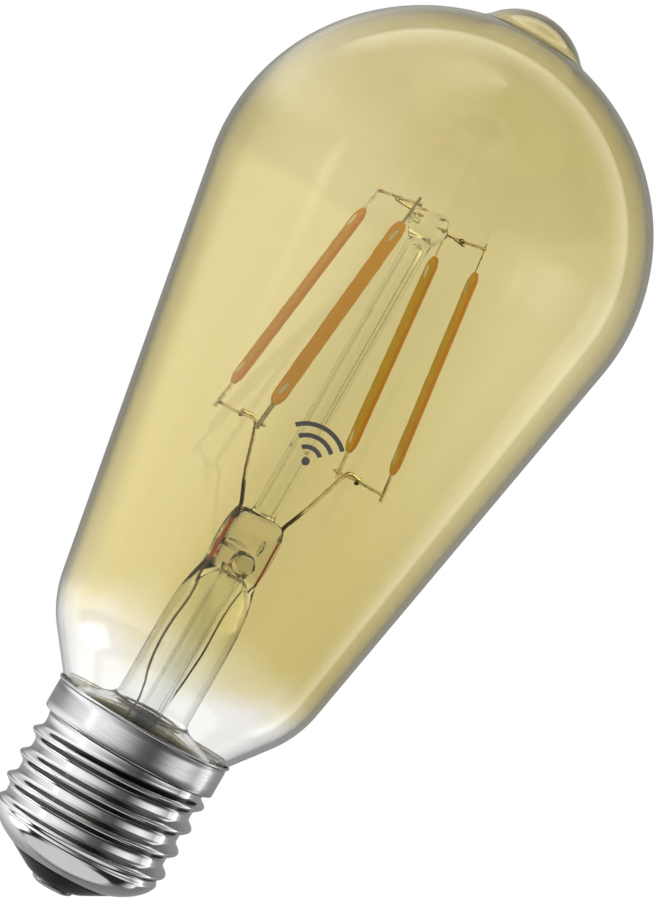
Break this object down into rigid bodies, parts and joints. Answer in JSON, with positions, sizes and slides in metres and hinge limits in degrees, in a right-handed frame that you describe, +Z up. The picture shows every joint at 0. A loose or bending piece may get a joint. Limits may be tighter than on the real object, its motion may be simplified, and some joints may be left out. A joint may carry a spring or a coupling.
{
  "type": "smart light bulb",
  "caption": "Smart filament light bulb: tinted pear-cone glass with a pip, four filaments on a glass stem, driver and radio inside a screw cap.",
  "frame": {"origin": "middle of the centre contact's face, at the bottom of the screw cap", "axes": "+Z up the lamp's axis to the pip of the glass, +X across the plane of the lead wires, +Y along the cross bars"},
  "size_m": [0.064, 0.064, 0.14],
  "materials": {
    "amber_glass": "clear amber-tinted, fading to clear at the neck",
    "clear_glass": "clear",
    "cap_metal": "bright rolled",
    "black_glass": "opaque black, glossy",
    "contact_metal": "nickel plated",
    "cement": "baked cement",
    "frame_wire": "drawn, gold toned",
    "dumet": "oxidised copper cladding",
    "tail_wire": "dull",
    "filament_coating": "phosphor-filled silicone",
    "filament_carrier": "ceramic strip with chips",
    "terminal_metal": "plated",
    "sleeve_plastic": "moulded",
    "board_laminate": "solder mask",
    "chip_moulding": "moulded",
    "capacitor_sleeve": "shrink sleeve",
    "ferrite": "sintered",
    "copper": "enamelled copper",
    "resistor_lacquer": "lacquered",
    "shield_metal": "tinned",
    "wire_insulation": "extruded",
    "solder": "soldered"
  },
  "bodies": {
    "root": {"antenna_trace": "copper", "antenna_wire": "tail_wire", "board_link_pins": "contact_metal", "bottom_crossbar_left": "frame_wire", "bottom_crossbar_right": "frame_wire", "bridge_rectifier": "chip_moulding", "bulk_capacitor": "capacitor_sleeve", "cap_cement": "cement", "cap_insulator": "black_glass", "centre_contact": "contact_metal", "contact_rivet": "contact_metal", "driver_board": "board_laminate", "driver_chip": "chip_moulding", "driver_sleeve": "sleeve_plastic", "dumet_seal_left": "dumet", "dumet_seal_right": "dumet", "exhaust_tube": "clear_glass", "filament_core_1": "filament_carrier", "filament_core_2": "filament_carrier", "filament_core_3": "filament_carrier", "filament_core_4": "filament_carrier", "filament_terminals_1": "terminal_metal", "filament_terminals_2": "terminal_metal", "filament_terminals_3": "terminal_metal", "filament_terminals_4": "terminal_metal", "fusible_resistor": "resistor_lacquer", "glass_envelope": "amber_glass", "inductor_winding": "copper", "led_filament_1": "filament_coating", "led_filament_2": "filament_coating", "led_filament_3": "filament_coating", "led_filament_4": "filament_coating", "live_wire": "wire_insulation", "lower_lead_left": "tail_wire", "lower_lead_right": "tail_wire", "neutral_wire": "wire_insulation", "power_inductor": "ferrite", "radio_board": "board_laminate", "radio_shield": "shield_metal", "screw_shell": "cap_metal", "solder_joints": "solder", "stem_flare": "clear_glass", "support_column": "clear_glass", "top_crossbar_left": "frame_wire", "top_crossbar_right": "frame_wire", "top_support_wire_left": "frame_wire", "top_support_wire_right": "frame_wire", "upper_lead_left": "frame_wire", "upper_lead_right": "frame_wire"}
  },
  "joints": []
}
